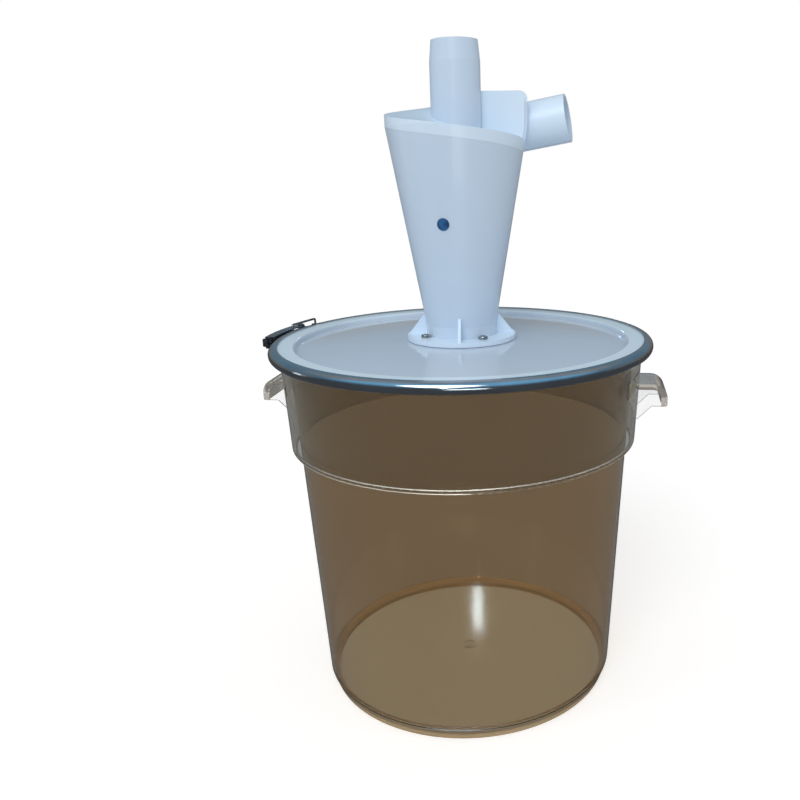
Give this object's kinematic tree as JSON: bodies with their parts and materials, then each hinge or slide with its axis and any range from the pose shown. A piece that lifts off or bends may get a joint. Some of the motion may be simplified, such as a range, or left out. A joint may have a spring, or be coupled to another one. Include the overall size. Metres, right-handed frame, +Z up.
{
  "type": "cyclone dust separator",
  "caption": "White plastic cyclone dust separator with helical roof, bolted on the lid of a clear bucket closed by a steel hoop with a lever latch.",
  "frame": {"origin": "on the floor under the bucket axis", "axes": "+Z up along the bucket and cyclone axis, +X to the inlet side, -Y to the front, the two handles nine degrees off X"},
  "size_m": [0.4354, 0.4028, 0.6745],
  "materials": {
    "clear_plastic": "clear moulded",
    "lid_plastic": "glossy translucent white",
    "seal_foam": "soft white",
    "hoop_steel": "polished",
    "latch_steel": "dull zinc",
    "white_plastic": "semi gloss moulded",
    "zinc_steel": "bright zinc",
    "badge_film": "glossy film"
  },
  "bodies": {
    "separator": {"bucket": "clear_plastic", "bucket_collar": "clear_plastic", "bucket_handles": "clear_plastic", "lid": "lid_plastic", "lid_gasket": "seal_foam", "clamp_band": "hoop_steel", "lever_bracket": "latch_steel", "lever_pin": "latch_steel", "keeper": "latch_steel", "latch_rivets": "latch_steel", "cyclone_body": "white_plastic", "cyclone_flange": "white_plastic", "inlet_pipe": "white_plastic", "cyclone_cover": "white_plastic", "outlet_tube": "white_plastic", "flange_gasket": "seal_foam", "flange_screws": "zinc_steel", "flange_washers": "zinc_steel", "flange_nuts": "zinc_steel", "badge": "badge_film"},
    "lever": {"latch_lever": "latch_steel"},
    "bail": {"latch_bail": "latch_steel"}
  },
  "joints": [
    {"name": "lever_swing", "type": "hinge", "parent": "separator", "child": "lever", "pos_m": [-0.18688, 0.08914, 0.376], "axis": [0, 0, -1], "range_deg": [0, 140]},
    {"name": "bail_swing", "type": "hinge", "parent": "lever", "child": "bail", "pos_m": [-0.19377, 0.0747, 0.376], "axis": [0, 0, 1], "range_deg": [0, 140]}
  ],
  "couplings": [
    {"joint": "bail_swing", "follows": "lever_swing", "ratio": 1}
  ]
}
